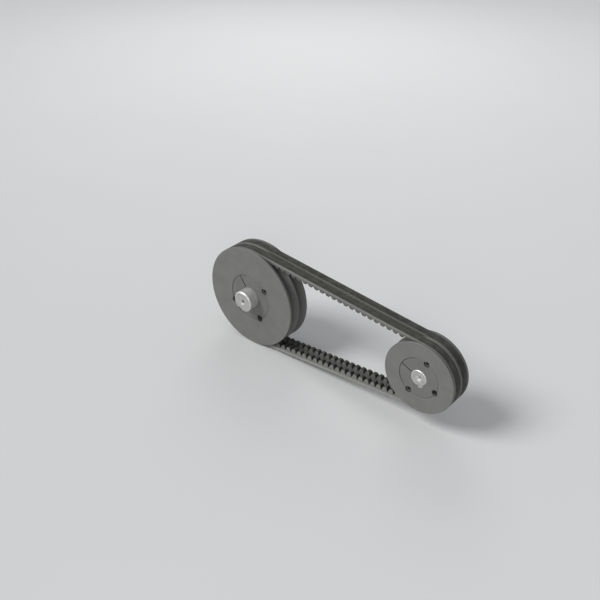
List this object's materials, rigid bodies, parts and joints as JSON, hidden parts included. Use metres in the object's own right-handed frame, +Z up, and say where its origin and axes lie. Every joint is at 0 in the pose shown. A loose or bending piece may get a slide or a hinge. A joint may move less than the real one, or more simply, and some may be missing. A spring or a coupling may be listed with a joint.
{
  "type": "v belt drive",
  "caption": "Cogged V-belts side by side over a large and a small grooved pulley, each pulley clamped on a keyed shaft end by a split taper bush.",
  "frame": {"origin": "on the driver shaft's axis, at the shoulder where its bearing seat starts, 60 mm behind the pulleys' front faces", "axes": "+Y along both shafts, from the pulleys' front faces back into the motor; +X from the driver shaft to the driven shaft; +Z up"},
  "size_m": [0.506, 0.103, 0.187],
  "materials": {
    "pulley_iron": "phosphated, matt grey, faces turned flat",
    "bush_iron": "phosphated, matt grey",
    "shaft_steel": "turned, bright",
    "key_steel": "drawn, bright",
    "screw_steel": "black oxide",
    "belt_fabric": "woven cover rubbed into dark rubber, matt",
    "belt_rubber": "raw cut edge, matt grey-black",
    "belt_cord": "twisted polyester cord"
  },
  "bodies": {
    "belts": {"front_belt_back_fabric": "belt_fabric", "front_belt_cord_layer": "belt_rubber", "front_belt_tensile_cords": "belt_cord", "front_belt_cogged_base": "belt_rubber", "rear_belt_back_fabric": "belt_fabric", "rear_belt_cord_layer": "belt_rubber", "rear_belt_tensile_cords": "belt_cord", "rear_belt_cogged_base": "belt_rubber"},
    "driver": {"driver_pulley": "pulley_iron", "driver_taper_bush": "bush_iron", "driver_bush_screw_upper": "screw_steel", "driver_bush_screw_lower": "screw_steel", "driver_key": "key_steel", "driver_shaft_end": "shaft_steel"},
    "driven": {"driven_pulley": "pulley_iron", "driven_taper_bush": "bush_iron", "driven_bush_screw_upper": "screw_steel", "driven_bush_screw_lower": "screw_steel", "driven_key": "key_steel", "driven_shaft_end": "shaft_steel"}
  },
  "joints": [
    {"name": "driver_spin", "type": "hinge", "parent": "belts", "child": "driver", "pos_m": [0, 0, 0], "axis": [0, 1, 0], "continuous": true},
    {"name": "driven_spin", "type": "hinge", "parent": "belts", "child": "driven", "pos_m": [0.35, 0, 0], "axis": [0, 1, 0], "continuous": true}
  ],
  "couplings": [
    {"joint": "driven_spin", "follows": "driver_spin", "ratio": 1.5254}
  ]
}
